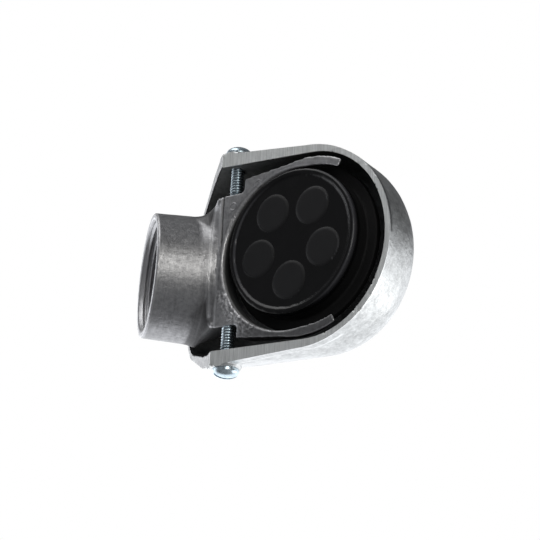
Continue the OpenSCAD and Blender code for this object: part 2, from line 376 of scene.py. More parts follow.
def edge_ends(mesh):
    """Numbers of the vertices at the two ends of every edge."""
    ends = np.zeros(len(mesh.edges) * 2, np.int32)
    mesh.edges.foreach_get("vertices", ends)
    return ends.reshape(-1, 2).T


def draw_in(co, a, b, share, steps):
    """Moves vertices along the edges a-b towards their neighbours' mean, once a step."""
    count = np.bincount(a, minlength=len(co)) + np.bincount(b, minlength=len(co))
    count = np.maximum(1, count)
    for step in steps:
        mean = np.stack([
            (np.bincount(a, co[b, k], len(co)) + np.bincount(b, co[a, k], len(co))) / count
            for k in range(3)], 1)
        co = co + (mean - co) * (step * share)[:, None]
    return co


def relax(mesh, co, share, rounds):
    """Evens out a mesh without shrinking it; share says how far each vertex may follow."""
    return draw_in(co, *edge_ends(mesh), share, [0.5, -0.52] * rounds)


def melt(mesh, co, share, rounds):
    """Plain smoothing that rounds off whatever share marks."""
    a, b = edge_ends(mesh)
    keep = (share[a] > 0) | (share[b] > 0)
    return draw_in(co, a[keep], b[keep], share, [0.6] * rounds)


def snap_to_lines(co, chosen, lines, reach):
    """Moves the chosen points within reach of a line onto it; says which were moved."""
    moved = np.zeros(len(co), bool)
    starts = np.array([a for a, _ in lines])
    along = np.array([b - a for a, b in lines])
    length2 = (along ** 2).sum(1)
    for i in np.flatnonzero(chosen):
        t = np.clip(((co[i] - starts) * along).sum(1) / length2, 0, 1)
        foot = starts + along * t[:, None]
        gap = ((foot - co[i]) ** 2).sum(1)
        k = gap.argmin()
        if gap[k] < reach ** 2:
            co[i] = foot[k]
            moved[i] = True
    # Where a line is left bare, the nearest free point is brought onto it
    on_line, free = (point_tree(co[members], members) for members in (
        np.flatnonzero(moved), np.flatnonzero(chosen & ~moved)))
    for a, b in lines:
        count = max(1, int((b - a).length / (0.8 * reach)))
        for k in range(count):
            point = a.lerp(b, (k + 0.5) / count)
            if on_line.find(point)[2] > 1.15 * reach:
                _, i, gap = free.find(point)
                if gap < 2 * reach and not moved[i]:
                    co[i] = point
                    moved[i] = True
    return moved


def split_quads(mesh, on_line):
    """Cuts the quads that a hard line crosses from corner to corner."""
    bm = bmesh.new()
    bm.from_mesh(mesh)
    for face in list(bm.faces):
        corners = face.verts[:]
        touch = [on_line[v.index] for v in corners]
        if touch == [True, False, True, False]:
            bmesh.utils.face_split(face, corners[0], corners[2])
        elif touch == [False, True, False, True]:
            bmesh.utils.face_split(face, corners[1], corners[3])
    bm.to_mesh(mesh)
    bm.free()


def rough(co, size, octaves, seed):
    """Fractal noise at each point, features of the given size, about -1 to 1."""
    shift = Vector((seed * 7.31, seed * 3.17, seed * 5.77))
    return np.array([
        noise.fractal(Vector(p) / size + shift, 1.0, 2.0, octaves) for p in co])


def mark(mesh, name, values):
    """Stores one number a vertex for the materials to read."""
    layer = mesh.attributes.new(name, "FLOAT", "POINT")
    layer.data.foreach_set("value", values.astype(np.float32))


def smooth_shaded(mesh):
    """Shades the whole mesh smooth."""
    mesh.polygons.foreach_set("use_smooth", [True] * len(mesh.polygons))
    mesh.update()


def sharpen(mesh, on_line):
    """Makes the edges between the marked vertices hard."""
    a, b = edge_ends(mesh)
    hard = mesh.attributes.new("sharp_edge", "BOOLEAN", "EDGE")
    hard.data.foreach_set("value", on_line[a] & on_line[b])


def tilted_axes(tilt):
    """Directions up along an inclined plane and out of it."""
    up = Vector((0, -math.cos(tilt), math.sin(tilt)))
    out = Vector((0, -math.sin(tilt), -math.cos(tilt)))
    return up, out


def screw_axis_point():
    """Middle of the clamp screws' common axis."""
    lo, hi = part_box("right_screw")
    return Vector((0, (lo.y + hi.y) / 2, (lo.z + hi.z) / 2))


def on_face(co, cast):
    """Each point's height out of the face, and its climb up along it, from the screw axis."""
    up, out = (np.array(v) for v in tilted_axes(cast.face_tilt))
    off = co - np.array(screw_axis_point())
    return off @ out, off @ up


# ---- Materials ----


class Nodes:
    """Short way to lay out the nodes of a material or a world."""

    def __init__(self, owner):
        owner.use_nodes = True
        self.tree = owner.node_tree
        self.tree.nodes.clear()

    def new(self, kind):
        """New node of the kind."""
        return self.tree.nodes.new("ShaderNode" + kind)

    def join(self, source, target):
        """Links one socket to another."""
        self.tree.links.new(source, target)

    def feed(self, value, socket):
        """Links a socket's value, or sets a plain one."""
        if isinstance(value, bpy.types.NodeSocket):
            self.join(value, socket)
        else:
            socket.default_value = value

    def math(self, kind, a, b=0.5, clamp=False):
        """Sum or other operation on two numbers; some take only the first."""
        node = self.new("Math")
        node.operation = kind
        node.use_clamp = clamp
        self.feed(a, node.inputs[0])
        self.feed(b, node.inputs[1])
        return node.outputs[0]

    def mix(self, factor, a, b):
        """Shader between a and b."""
        node = self.new("MixShader")
        for value, socket in zip((factor, a, b), node.inputs):
            self.feed(value, socket)
        return node.outputs[0]


class Finish(Nodes):
    """One finish of the part, laid out in the object's own frame."""

    def __init__(self, name):
        self.material = bpy.data.materials.new(name)
        super().__init__(self.material)
        output = self.new("OutputMaterial")
        self.shader = self.new("BsdfPrincipled")
        self.join(self.shader.outputs[0], output.inputs[0])
        self.place = self.new("TexCoord").outputs["Object"]

    def attribute(self, name):
        """One of the numbers that mark() stored."""
        node = self.new("Attribute")
        node.attribute_name = name
        return node.outputs["Fac"]

    def noise(self, size, detail=3.0, roughness=0.55, stretch=(1, 1, 1)):
        """Noise whose features are about size metres across, stretched along the axes."""
        mapping = self.new("Mapping")
        mapping.inputs["Scale"].default_value = [1 / (size * s) for s in stretch]
        self.join(self.place, mapping.inputs["Vector"])
        node = self.new("TexNoise")
        node.inputs["Scale"].default_value = 1.0
        node.inputs["Detail"].default_value = detail
        node.inputs["Roughness"].default_value = roughness
        self.join(mapping.outputs[0], node.inputs["Vector"])
        return node.outputs["Fac"]

    def ring(self, centre, radius, width):
        """One on a circle of the given radius round a point, fading over width."""
        node = self.new("VectorMath")
        node.operation = "DISTANCE"
        self.join(self.place, node.inputs[0])
        node.inputs[1].default_value = centre
        off = self.math("ABSOLUTE", self.math("SUBTRACT", node.outputs["Value"], radius))
        return self.math("SUBTRACT", 1.0, self.math("DIVIDE", off, width), clamp=True)

    def ramp(self, value, stops):
        """Colour ramp; stops are (position, grey or colour)."""
        node = self.new("ValToRGB")
        elements = node.color_ramp.elements
        while len(elements) < len(stops):
            elements.new(0.5)
        for element, (position, colour) in zip(elements, stops):
            element.position = position
            if not hasattr(colour, "__len__"):
                colour = (colour, colour, colour)
            element.color = (*colour, 1)
        self.join(value, node.inputs[0])
        return node.outputs["Color"]

    def tones(self, value, colour, *stops):
        """Ramp through shades of one colour; stops are (position, lightness)."""
        return self.ramp(value, [(position, scaled(colour, f)) for position, f in stops])

    def blend(self, factor, a, b):
        """Colour between a and b."""
        node = self.new("Mix")
        node.data_type = "RGBA"
        self.feed(factor, node.inputs[0])
        for value, socket in ((a, node.inputs[6]), (b, node.inputs[7])):
            if not isinstance(value, bpy.types.NodeSocket):
                value = (*value, 1)
            self.feed(value, socket)
        return node.outputs[2]

    def bump(self, height, distance, strength=1.0, under=None):
        """Fine relief of the given height, laid over another one."""
        node = self.new("Bump")
        node.inputs["Distance"].default_value = distance
        node.inputs["Strength"].default_value = strength
        self.join(height, node.inputs["Height"])
        if under is not None:
            self.join(under, node.inputs["Normal"])
        return node.outputs[0]

    def finish(self, metallic, colour, roughness, normal, specular=None):
        """Feeds the shader and gives the finished material."""
        self.shader.inputs["Metallic"].default_value = metallic
        self.feed(colour, self.shader.inputs["Base Color"])
        self.feed(roughness, self.shader.inputs["Roughness"])
        self.join(normal, self.shader.inputs["Normal"])
        if specular is not None:
            self.shader.inputs["Specular IOR Level"].default_value = specular
        return self.material


def scaled(colour, factor):
    """The colour made lighter or darker."""
    return tuple(min(1.0, c * factor) for c in colour)


def cast_metal(name, colour, hollow_shade, gloss, lines=0.45):
    """Bare cast aluminium: mottled tone, rubbed edges, pits, fine tool lines and painted shade
    where the pieces mark it.
    """
    n = Finish(name)
    mottle = n.noise(5 * MM, 4, 0.65)
    spots = n.noise(1.5 * MM, 3, 0.7)
    fine = n.noise(0.6 * MM, 3, 0.6)
    streak = n.noise(0.9 * MM, 4, 0.65, stretch=(9, 9, 0.5))
    pits = n.ramp(n.noise(1.7 * MM, 2, 0.5), ((0.62, 1.0), (0.72, 0.0)))
    base = n.tones(mottle, colour, (0.28, 0.66), (0.52, 1), (0.76, 1.28))
    base = n.blend(lines, base, n.tones(streak, colour, (0.3, 0.62), (0.7, 1.35)))
    base = n.blend(0.40, base, n.tones(spots, colour, (0.3, 0.55), (0.7, 1.5)))
    base = n.blend(n.attribute("worn"), base, scaled(colour, 1.9))
    # Painted shade: deep where marked in creases and lines, softer in hollows and undersides
    base = n.blend(n.attribute("crevice"), base, scaled(colour, 0.12))
    base = n.blend(n.attribute("sheltered"), base, scaled(colour, hollow_shade))
    rough_share = n.ramp(n.noise(2.4 * MM, 4, 0.65), ((0.25, gloss), (0.75, gloss + 0.20)))
    rough_share = n.math("MAXIMUM", rough_share, n.attribute("matt"))
    normal = n.bump(fine, 0.04 * MM, 0.8)
    normal = n.bump(spots, 0.15 * MM, 0.7, normal)
    normal = n.bump(pits, 0.06 * MM, 0.6, normal)
    normal = n.bump(streak, 0.08 * lines * MM, 0.8, normal)
    return n, base, rough_share, normal


def hub_metal():
    """Hub metal; the horseshoe face shows ejector marks beside its notches."""
    cast = settings().casting
    n, base, gloss, normal = cast_metal("Cast hub metal", tuple(cast.body_colour), 0.35, 0.34)
    up, out = tilted_axes(cast.face_tilt)
    for x, climb in EJECTOR_MARKS:
        centre = (screw_axis_point() + Vector((x * MM, 0, 0)) + up * (climb * MM)
                  + out * cast.face_front)
        ring = n.ring(centre, EJECTOR_R, EJECTOR_LINE)
        normal = n.bump(ring, 0.11 * MM, 1.0, normal)
        base = n.blend(n.math("MULTIPLY", ring, 0.4), base, scaled(cast.body_colour, 0.45))
    return n.finish(1.0, base, gloss, normal)


def hood_metal():
    """Hood metal; the sawn rim carries fine lines across its width."""
    cast = settings().casting
    colour = tuple(cast.hood_colour)
    n, base, gloss, normal = cast_metal("Cast hood metal", colour, 0.10, 0.26, 0.12)
    saw = n.noise(0.42 * MM, 3, 0.7, stretch=(30, 0.9, 0.9))
    broad = n.noise(3.5 * MM, 3, 0.6, stretch=(3, 1, 1))
    sawn = n.attribute("sawn")
    lines = n.tones(saw, colour, (0.30, 0.95), (0.70, 1.75))
    lines = n.blend(0.35, lines, n.tones(broad, colour, (0.3, 1), (0.7, 1.6)))
    base = n.blend(sawn, base, lines)
    gloss = n.math("MAXIMUM", gloss, n.math("MULTIPLY", sawn, 0.52))
    return n.finish(1.0, base, gloss, normal)


def black_plastic():
    """Satin black moulding, a little dusty, duller on the knockouts and in the deep, with a
    painted highlight on the outer wall under its rim.
    """
    n = Finish("Black moulding")
    colour = tuple(settings().insert.plastic_colour)
    knockout = n.attribute("knockout")
    grain = n.noise(0.35 * MM, 2, 0.5)
    dust = n.ramp(n.noise(9 * MM, 5, 0.65), ((0.45, 0.0), (0.8, 1.0)))
    base = n.blend(knockout, colour, scaled(colour, 2.6))
    base = n.blend(n.math("MULTIPLY", dust, 0.25), base, scaled(colour, 2.2))
    # Painted highlight on the upward-facing outer wall under the rim
    base = n.blend(n.attribute("scuffed"), base, scaled(colour, 16))
    gloss = n.math("ADD", n.math("MULTIPLY", knockout, 0.2),
                   n.ramp(n.noise(4 * MM, 3, 0.6), ((0.3, 0.17), (0.7, 0.23))))
    gloss = n.math("ADD", gloss, n.math("MULTIPLY", n.attribute("deep"), 0.55))
    return n.finish(0.0, base, gloss, n.bump(grain, 0.006 * MM, 0.5), 0.25)


def zinc_plate():
    """Bright blue zinc plate, with painted shade darkening the roots of the threads."""
    n = Finish("Bright zinc plate")
    colour = tuple(settings().thread.zinc_colour)
    cloud = n.noise(1.2 * MM, 4, 0.6)
    base = n.tones(cloud, colour, (0.3, 0.72), (0.55, 1), (0.75, 1.35))
    # Painted shade darkens the roots of the threads
    base = n.blend(n.attribute("root"), base, scaled(colour, 0.30))
    gloss = n.ramp(n.noise(0.5 * MM, 3, 0.6), ((0.3, 0.20), (0.7, 0.36)))
    return n.finish(1.0, base, gloss, n.bump(n.noise(0.3 * MM, 2), 0.01 * MM, 0.6))


# ---- Pieces ----


def slope_neck(co, radius):
    """Draws the neck's front out of the hub in one slope up to the foot of the face."""
    x, y, z = co.T
    t = (z - NECK_START_Z) / (NECK_FOOT_Z - NECK_START_Z)
    # Only the outside of the wall moves, and only its front
    front = (t > 0) & (t < 1) & (y < -3 * MM) & (radius > 22.8 * MM)
    hub_r = HUB_MOUTH_R + z * math.tan(HUB_DRAFT)
    hub_y = np.sqrt(np.maximum(hub_r ** 2 - x ** 2, (3 * MM) ** 2))
    target = -(hub_y + (NECK_FOOT_Y - hub_y) * np.clip(t, 0, 1) ** NECK_CURVE)
    share = front * smooth_step(-np.abs(x), -24.5 * MM, -20.5 * MM)
    co[:, 1] += share * (target - y)


def shaped_hub(cast):
    """Hub mesh with its neck drawn out smooth.

    Gives the mesh, its places, their distances from a sharp edge, their radii before the
    neck was drawn, and how far each of them is part of the neck.
    """
    mesh, co, edge = remeshed("hub_body", "hub_casting", cast.body_grain, close_tapped_holes)
    co = relax(mesh, co, 0.25 + 0.75 * smooth_step(edge, 0.6 * MM, 1.8 * MM), 12)
    radius = np.hypot(co[:, 0], co[:, 1])
    height, _ = on_face(co, cast)
    slope_neck(co, radius)
    neck = smooth_step(co[:, 2], 14.5 * MM, 17 * MM) * (radius > 22.4 * MM)
    neck *= smooth_step(cast.face_front - height, 0.3 * MM, 1.8 * MM)
    co = melt(mesh, co, neck, 70)
    store(mesh, co)
    return mesh, co, edge, radius, neck


class WEATHERHEAD_OT_hub_casting(bpy.types.Operator):
    """Build the hub casting's cast skin over the frame's solid."""

    bl_idname = "weatherhead.hub_casting"
    bl_label = "Hub casting"

    def execute(self, context):
        cast = settings().casting
        mesh, co, edge, radius, neck = shaped_hub(cast)
        up, out = (np.array(v) for v in tilted_axes(cast.face_tilt))
        x, y, z = co.T
        n = normals(mesh)
        height, climb = on_face(co, cast)
        plate = smooth_step(height, cast.face_front - 0.6 * MM, cast.face_front - 0.1 * MM)
        plate *= (n @ out) > 0.8

        # Waviness of the cast skin, finer on the plate and none in the bore
        bore = (radius < HUB_MOUNT["dims"]["r_mm"] * MM + 0.4 * MM) & (z < 30 * MM)
        relief = rough(co, 5 * MM, 3, 1) * (0.5 + 0.9 * plate)
        relief += 0.45 * rough(co, 1.6 * MM, 2, 2) * plate
        relief *= cast.skin_relief * smooth_step(edge, 0, 1.0 * MM) * ~bore

        # The opening's edge is broken on one side, and rough with flash on the other
        past_edge = np.hypot(x, climb - cast.opening_up) - cast.opening_r
        foot = smooth_step(-climb, -16 * MM, -9 * MM)
        broken = smooth_step(-x, 8 * MM, 13 * MM) * foot * plate
        relief -= 0.50 * np.clip(1.8 * MM - past_edge, 0, 1.8 * MM) * broken
        flash = smooth_step(x, 9 * MM, 14 * MM) * foot * plate
        flash *= smooth_step(-past_edge, -7.5 * MM, -2.5 * MM)
        relief += 0.36 * MM * flash * np.clip(0.2 + rough(co, 1.3 * MM, 3, 3), -0.3, 1)

        # A parting groove runs along the foot of the face
        groove = np.exp(-((climb + cast.face_half - 0.9 * MM) / (0.40 * MM)) ** 2)
        groove *= smooth_step(-x, 4 * MM, 8 * MM) * (height > 0) * (n @ out > 0.3)
        relief -= 0.5 * MM * groove
        store(mesh, co + n * relief[:, None])

        rubbed = 0.7 * (1 - smooth_step(edge, 0.15 * MM, 0.7 * MM))
        speckle = smooth_step(rough(co, 0.9 * MM, 2, 6), -0.1, 0.25)
        mark(mesh, "worn", np.maximum(rubbed, flash * speckle))

        # Painted shade darkens the groove, the neck and its shoulder, and one arm of the
        # horseshoe
        shaded = 0.60 * smooth_step(x, 10 * MM, 20 * MM)
        shaded *= smooth_step(climb, 0, 12 * MM) * plate
        corner = neck * (0.45 + 0.40 * smooth_step(z, 17 * MM, 20.5 * MM))
        shoulder = smooth_step(-x, 3 * MM, 13 * MM) * (y < 0)
        shoulder *= smooth_step(z, 12.5 * MM, 16.5 * MM)
        shoulder *= smooth_step(cast.face_front - height, 1 * MM, 4 * MM)
        corner = np.maximum(corner, 0.82 * shoulder)
        mark(mesh, "crevice", np.maximum(0.8 * groove, np.maximum(corner, shaded)))

        wall = (np.abs(past_edge) < 2.2 * MM) & (n @ out < 0.6) & (height > -6 * MM)
        mark(mesh, "matt", np.maximum(0.8 * (wall & (n @ up > 0.1)), 0.65 * neck))
        # Painted shade darkens, high up, what faces back and the inside of the bore
        inward = (z > 21 * MM) & ((n[:, 1] > 0.5) | (radius < 21.8 * MM))
        mark(mesh, "sheltered", 0.8 * inward)
        smooth_shaded(mesh)
        obj = new_object("hub_casting", mesh)
        obj.data.materials.append(hub_metal())
        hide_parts("hub_body")
        return {"FINISHED"}


def thread_crest(x, pitch, turn, steepness):
    """How far up its crest a thread is, at a place along it and a share of a turn."""
    phase = (x / pitch - turn) % 1.0
    return min(1.0, steepness * (1 - abs(2 * phase - 1)))


class WEATHERHEAD_OT_hub_thread(bpy.types.Operator):
    """Cut the conduit thread's crests into the hub's bore."""

    bl_idname = "weatherhead.hub_thread"
    bl_label = "Conduit thread"

    def execute(self, context):
        thread = settings().thread
        root = HUB_MOUNT["dims"]["r_mm"] * MM
        start = HUB_MOUNT["pos_m"][2] + THREAD_START_GAP
        length = HUB_MOUNT["dims"]["length_mm"] * MM - THREAD_END_GAPS
        around, rings = THREAD_SEGMENTS, THREAD_RINGS
        verts = []
        for i in range(rings + 1):
            z = start + length * i / rings
            fade = min(1.0, (z - start) / (1.2 * thread.hub_pitch),
                       (start + length - z) / (0.6 * thread.hub_pitch))
            for j in range(around):
                turn = j / around
                crest = thread_crest(z, thread.hub_pitch, turn, 1.15)
                r = root + THREAD_ROOT_IN - thread.hub_depth * crest * max(0.0, fade)
                a = math.tau * turn
                verts.append((r * math.cos(a), r * math.sin(a), z))
        faces = []
        for i in range(rings):
            for j in range(around):
                k = (j + 1) % around
                faces.append((i * around + j, (i + 1) * around + j,
                              (i + 1) * around + k, i * around + k))
        # The sleeve's outer wall and its two ends, let into the bore
        base = len(verts)
        for z in (start, start + length):
            for j in range(around):
                a = math.tau * j / around
                r = root + THREAD_SLEEVE_IN
                verts.append((r * math.cos(a), r * math.sin(a), z))
        top = rings * around
        for j in range(around):
            k = (j + 1) % around
            faces.append((base + j, j, k, base + k))
            faces.append((top + j, base + around + j, base + around + k, top + k))
            faces.append((base + around + j, base + j, base + k, base + around + k))
        mesh = bpy.data.meshes.new("hub_thread")
        mesh.from_pydata(verts, [], faces)
        mark(mesh, "worn", np.full(len(verts), 0.8))
        for name in ("crevice", "sheltered", "matt"):
            mark(mesh, name, np.zeros(len(verts)))
        smooth_shaded(mesh)
        obj = new_object("hub_thread", mesh)
        obj.data.materials.append(bpy.data.materials["Cast hub metal"])
        return {"FINISHED"}


def hood_lines(bm, rim_plane, out):
    """Hard lines of the hood: those of its sawn rim, and those under its skirt."""
    rim_lines, skirt_lines = [], []
    for edge in bm.edges:
        if len(edge.link_faces) != 2 or edge.calc_face_angle(0.0) < HARD_EDGE:
            continue
        a, b = (v.co.copy() for v in edge.verts)
        if all(abs((p - rim_plane).dot(out)) < RIM_TOLERANCE for p in (a, b)):
            rim_lines.append((a, b))
        elif edge.is_convex and any(f.normal.z < -0.5 for f in edge.link_faces):
            skirt_lines.append((a, b))
    return rim_lines, skirt_lines


def shaped_hood(cast, rim_plane, out):
    """Hood mesh with clean hard lines and a flat rim.

    Gives the mesh, its places, their distances from a sharp edge and heights over the
    rim's plane, and which of them are on the rim and on a hard line.
    """
    lines = []
    mesh, co, edge = remeshed("hood", "hood_casting", cast.hood_grain,
                              lambda bm: lines.extend(hood_lines(bm, rim_plane, out)))
    rim_lines, skirt_lines = lines
    middle, out = np.array(rim_plane), np.array(out)
    near_rim = np.abs((co - middle) @ out) < 0.8 * cast.hood_grain
    co = relax(mesh, co, 0.15 + 0.85 * smooth_step(edge, 0.8 * MM, 2.6 * MM), 25)
    reach = SNAP_REACH * cast.hood_grain
    on_rim = snap_to_lines(co, near_rim, rim_lines, reach)
    near_skirt = (edge < 0.9 * cast.hood_grain) & ~on_rim
    on_line = on_rim | snap_to_lines(co, near_skirt, skirt_lines, reach)
    store(mesh, co)
    split_quads(mesh, on_line)
    height = (co - middle) @ out
    rim = ((height > -0.45 * MM) & (normals(mesh) @ out > 0.75)) | on_rim
    co[rim] -= np.outer(height[rim], out)
    store(mesh, co)
    return mesh, co, edge, height, rim, on_line


class WEATHERHEAD_OT_hood_casting(bpy.types.Operator):
    """Build the hood casting's cast skin with its sawn rim."""

    bl_idname = "weatherhead.hood_casting"
    bl_label = "Hood casting"

    def execute(self, context):
        cast = settings().casting
        up, out = tilted_axes(cast.rim_tilt)
        rim_plane = screw_axis_point() + out * cast.rim_front
        mesh, co, edge, height, rim, on_line = shaped_hood(cast, rim_plane, out)
        n = normals(mesh)
        inside = (((co - np.array(HOOD_MIDDLE)) * n).sum(1) < 0) & ~rim

        relief = rough(co, 8 * MM, 3, 4) + 0.3 * rough(co, 1.6 * MM, 2, 5)
        relief *= cast.skin_relief * smooth_step(edge, 0, 1.2 * MM) * ~rim
        store(mesh, co + n * relief[:, None])

        # A line of painted shade follows the rim on one side; the hollow is dull and has
        # painted shade, less of it at one tab, and painted shade also darkens the hood's low
        # undersides
        lip = ~inside & ~rim & (co[:, 0] < 0)
        mark(mesh, "worn", 0.5 * (1 - smooth_step(edge, 0.2 * MM, 0.9 * MM)) * ~inside * ~rim)
        mark(mesh, "crevice", 0.75 * lip * smooth_step(height, -2.2 * MM, -1.2 * MM))
        mark(mesh, "matt", 0.7 * inside)
        climb = (co - np.array(rim_plane)) @ np.array(up)
        tab = smooth_step(-co[:, 0], 15 * MM, 30 * MM) * smooth_step(-climb, -25 * MM, 5 * MM)
        hollow = inside * (0.96 - 0.30 * smooth_step(-climb, -35 * MM, 0) - 0.25 * tab)
        under = 0.93 * smooth_step(-n[:, 2], 0.3, 0.6) * ~rim * (co[:, 2] < 40 * MM)
        mark(mesh, "sheltered", np.maximum(hollow, under))
        mark(mesh, "sawn", rim.astype(float))
        smooth_shaded(mesh)
        sharpen(mesh, on_line)
        obj = new_object("hood_casting", mesh)
        obj.data.materials.append(hood_metal())
        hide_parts("hood")
        return {"FINISHED"}


def raised_discs(bm, axis, out):
    """Centre and radius of every knockout: a flat round island facing out."""
    flat, discs = {}, []
    for face in bm.faces:
        if face.normal.dot(out) > 0.999:
            level = round((face.calc_center_median() - axis).dot(out) / LEVEL_STEP)
            flat.setdefault(level, []).append(face)
    for faces in flat.values():
        left = dict.fromkeys(faces)
        while left:
            island = [left.popitem()[0]]
            for face in island:
                for near in (g for e in face.edges for g in e.link_faces):
                    if near in left:
                        del left[near]
                        island.append(near)
            points = [v.co for f in island for v in f.verts]
            centre = sum(points, Vector()) / len(points)
            radius = max((q - centre).length for q in points)
            if KNOCKOUT_SMALLEST < radius < KNOCKOUT_LARGEST:
                discs.append((centre, radius))
    return discs


class WEATHERHEAD_OT_conductor_insert(bpy.types.Operator):
    """Build the moulded insert with its softened rim and knockouts."""

    bl_idname = "weatherhead.conductor_insert"
    bl_label = "Conductor insert"

    def execute(self, context):
        up, out = tilted_axes(settings().casting.face_tilt)
        axis = screw_axis_point()
        discs = []
        mesh, co, edge = remeshed("conductor_insert", "insert_moulding",
                                  settings().insert.grain,
                                  lambda bm: discs.extend(raised_discs(bm, axis, out)))
        if not discs:
            raise RuntimeError("no knockouts on the frame's insert")
        co = relax(mesh, co, 0.35 + 0.65 * smooth_step(edge, 0.4 * MM, 1.4 * MM), 8)
        store(mesh, co)
        n = normals(mesh)
        up, out, axis = np.array(up), np.array(out), np.array(axis)
        height = (co - axis) @ out
        top = max((np.array(centre) - axis) @ out for centre, _ in discs)

        # Each knockout rises out of the floor in one even slope
        flat = co - np.outer(height, out)
        raised = np.zeros(len(co))
        for centre, radius in discs:
            centre = np.array(centre)
            spot = centre - ((centre - axis) @ out) * out
            away = np.sqrt(((flat - spot) ** 2).sum(1))
            raised = np.maximum(raised, smooth_step(radius - away, -0.1 * MM, 1.1 * MM))
        front = (n @ out > 0.5) & (np.abs(height - top) < 0.9 * MM)
        off = np.sqrt(((flat - flat[front].mean(0)) ** 2).sum(1))
        field = front & (off < FLOOR_R)
        floor = np.median(height[field & (raised == 0)])
        co += np.outer(field * (floor + (top - floor) * raised - height), out)

        # The raised rim round the floor is soft
        rim = smooth_step(height - top, -0.1 * MM, 0.25 * MM) * (height - top < 2 * MM)
        co = melt(mesh, co, rim, 30)
        store(mesh, co)

        mark(mesh, "knockout", raised * field)
        slopes = 2 * raised * (1 - raised) * field
        deep = smooth_step(top - height, 2.5 * MM, 4.5 * MM)
        mark(mesh, "deep", np.clip(deep + slopes, 0, 1))
        # Painted highlight: the outer wall just under the rim is made lighter where it faces
        # up
        wall = smooth_step(height - top, -2.5 * MM, -0.5 * MM) * (off > 20 * MM)
        mark(mesh, "scuffed", wall * smooth_step(n @ up, 0.2, 0.8))
        smooth_shaded(mesh)
        obj = new_object("insert_moulding", mesh)
        obj.data.materials.append(black_plastic())
        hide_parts("conductor_insert")
        return {"FINISHED"}


def screw_outline(shank, buried, head_r, thread):
    """Rings of a screw from its tip on: a place along it, its radius and its painted shade."""
    steps = int(shank / thread.screw_pitch * 8)
    for i in range(steps + 1):
        x = shank * i / steps
        fade = max(0.0, min(1.0, (x - buried) / (0.2 * MM)))
        core = SCREW_CORE_R + min(0.0, x - 0.6 * MM) * 0.8

        def lift(a):
            return thread_crest(x, thread.screw_pitch, a / math.tau, 1.25) * fade

        # The last value is painted shade, darkest in the thread's root
        yield (x, lambda a: core + thread.screw_depth * lift(a),
               lambda a: 1 - lift(a) if x > buried else 0.0)

    # Head: a short broken edge, a straight side and a round top
    for inset, h in ((0.12 * MM, 0.0), (0.0, 0.12 * MM), (0.0, SCREW_HEAD_EDGE)):
        yield shank + h, lambda a: head_r - inset, lambda a: 0.0
    for k in range(1, 9):
        turn = math.pi / 2 * k / 9
        yield (shank + SCREW_HEAD_EDGE + (SCREW_HEAD_H - SCREW_HEAD_EDGE) * math.sin(turn),
               lambda a: head_r * math.cos(turn), lambda a: 0.0)


def turned_screw(name, node, thread):
    """Round-head slotted screw with a cut thread, fitted into the node's box."""
    lo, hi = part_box(node)
    side = 1 if hi.x + lo.x > 0 else -1
    tip, top = (lo.x, hi.x) if side > 0 else (hi.x, lo.x)
    centre = Vector((0, (lo.y + hi.y) / 2, (lo.z + hi.z) / 2))
    head_r = (hi.y - lo.y) / 2
    shank = abs(top - tip) - SCREW_HEAD_H
    buried = NOTCH_FLOOR_X - abs(tip) + 0.1 * MM
    bm = bmesh.new()
    # Painted shade for the thread's roots, one number a vertex
    root_shade_layer = bm.verts.layers.float.new("root")
    rings = []
    for x, radius_at, root_shade_at in screw_outline(shank, buried, head_r, thread):
        rings.append([])
        for j in range(SCREW_SEGMENTS):
            a = math.tau * j / SCREW_SEGMENTS
            r = radius_at(a)
            v = bm.verts.new((side * x + tip, centre.y + r * math.cos(a),
                              centre.z + r * math.sin(a) * side))
            v[root_shade_layer] = root_shade_at(a)
            rings[-1].append(v)
    for lower, upper in zip(rings, rings[1:]):
        for j in range(SCREW_SEGMENTS):
            k = (j + 1) % SCREW_SEGMENTS
            bm.faces.new((lower[j], lower[k], upper[k], upper[j]))
    bm.faces.new(rings[0][::-1])
    pole = bm.verts.new((side * (shank + SCREW_HEAD_H) + tip, centre.y, centre.z))
    for j in range(SCREW_SEGMENTS):
        bm.faces.new((rings[-1][j], rings[-1][(j + 1) % SCREW_SEGMENTS], pole))
    bmesh.ops.recalc_face_normals(bm, faces=bm.faces)
    mesh = bpy.data.meshes.new(name)
    bm.to_mesh(mesh)
    bm.free()
    obj = new_object(name, mesh)
    cut_slot(obj, top, centre, head_r)
    smooth_shaded(obj.data)
    obj.data.set_sharp_from_angle(angle=math.radians(38))
    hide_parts(node)
    return obj


def cut_slot(obj, top, centre, head_r):
    """Cuts the driver slot across a screw head."""
    bm = bmesh.new()
    bmesh.ops.create_cube(bm, size=1)
    bmesh.ops.scale(
        bm, vec=(2 * SCREW_SLOT_DEPTH, SCREW_SLOT_WIDTH, 3 * head_r), verts=bm.verts)
    bmesh.ops.translate(bm, vec=(top, centre.y, centre.z), verts=bm.verts)
    mesh = bpy.data.meshes.new("slot_cutter")
    bm.to_mesh(mesh)
    bm.free()
    cutter = linked("slot_cutter", mesh)
    cut = obj.modifiers.new("Slot", "BOOLEAN")
    cut.operation = "DIFFERENCE"
    cut.solver = "EXACT"
    cut.object = cutter
    done = evaluated(obj)
    done.name = obj.name
    obj.modifiers.clear()
    obj.data = done
    bpy.data.objects.remove(cutter)
    bpy.data.meshes.remove(mesh)


class WEATHERHEAD_OT_clamp_screws(bpy.types.Operator):
    """Turn the two slotted clamp screws."""

    bl_idname = "weatherhead.clamp_screws"
    bl_label = "Clamp screws"

    def execute(self, context):
        plate = zinc_plate()
        for side in ("left", "right"):
            screw = turned_screw(side + "_clamp_screw", side + "_screw", settings().thread)
            screw.data.materials.append(plate)
        return {"FINISHED"}


# ---- Stage ----


